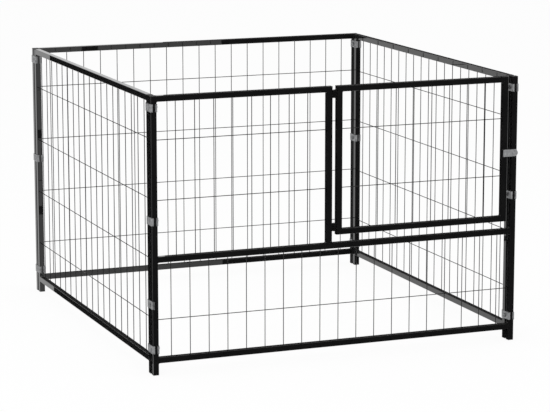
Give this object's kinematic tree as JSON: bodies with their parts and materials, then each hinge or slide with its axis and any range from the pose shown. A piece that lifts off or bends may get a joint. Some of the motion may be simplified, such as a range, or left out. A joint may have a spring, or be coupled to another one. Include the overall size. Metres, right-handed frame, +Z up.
{
  "type": "outdoor dog kennel run",
  "caption": "Open-topped dog run of square-tube panels filled with welded wire mesh, joined by bolted corner clamps, with a hinged door and a flip latch in the front.",
  "frame": {"origin": "on the ground, in the middle of the footprint of the posts", "axes": "+X to the right along the front panel, +Y from the front panel to the back, +Z up"},
  "size_m": [1.0104, 1.0506, 0.7],
  "materials": {
    "black_coat": "satin black powder coat on steel tube",
    "wire_coat": "satin black coat on welded steel wire",
    "plug_plastic": "matt black moulded plug",
    "zinc_plate": "dull bright zinc plate on pressed steel"
  },
  "bodies": {
    "frame": {"front_post_left": "black_coat", "front_post_right": "black_coat", "front_bottom_rail": "black_coat", "front_mid_rail": "black_coat", "front_hinge_post": "black_coat", "front_top_rail": "black_coat", "front_mesh_lower": "wire_coat", "front_mesh_upper": "wire_coat", "back_post_left": "black_coat", "back_post_right": "black_coat", "back_top_rail": "black_coat", "back_bottom_rail": "black_coat", "back_mesh": "wire_coat", "left_post_front": "black_coat", "left_post_back": "black_coat", "left_top_rail": "black_coat", "left_bottom_rail": "black_coat", "left_mesh": "wire_coat", "right_post_front": "black_coat", "right_post_back": "black_coat", "right_top_rail": "black_coat", "right_bottom_rail": "black_coat", "right_mesh": "wire_coat", "post_caps": "plug_plastic", "post_feet": "plug_plastic", "clamp_outer_front_left": "zinc_plate", "clamp_outer_front_right": "zinc_plate", "clamp_outer_back_left": "zinc_plate", "clamp_outer_back_right": "zinc_plate", "clamp_inner_front_left": "zinc_plate", "clamp_inner_front_right": "zinc_plate", "clamp_inner_back_left": "zinc_plate", "clamp_inner_back_right": "zinc_plate", "clamp_bolts": "zinc_plate", "clamp_nuts": "zinc_plate", "strap_plate": "zinc_plate", "strap_bolt": "zinc_plate", "strap_washer": "zinc_plate", "strap_nut": "zinc_plate", "hinge_lower_frame": "black_coat", "hinge_lower_pin": "black_coat", "hinge_upper_frame": "black_coat", "hinge_upper_pin": "black_coat", "latch_bolt": "zinc_plate", "latch_nut": "zinc_plate"},
    "door": {"door_hinge_stile": "black_coat", "door_latch_stile": "black_coat", "door_top_rail": "black_coat", "door_bottom_rail": "black_coat", "door_mesh": "wire_coat", "hinge_lower_door": "black_coat", "hinge_upper_door": "black_coat"},
    "latch": {"latch_fork": "zinc_plate"}
  },
  "joints": [
    {"name": "door_swing", "type": "hinge", "parent": "frame", "child": "door", "pos_m": [-0.01375, -0.518, 0.5], "axis": [0, 0, -1], "range_deg": [0, 110]},
    {"name": "latch_lift", "type": "hinge", "parent": "frame", "child": "latch", "pos_m": [0.4925, -0.5145, 0.5], "axis": [0, 1, 0], "range_deg": [0, 90]}
  ]
}
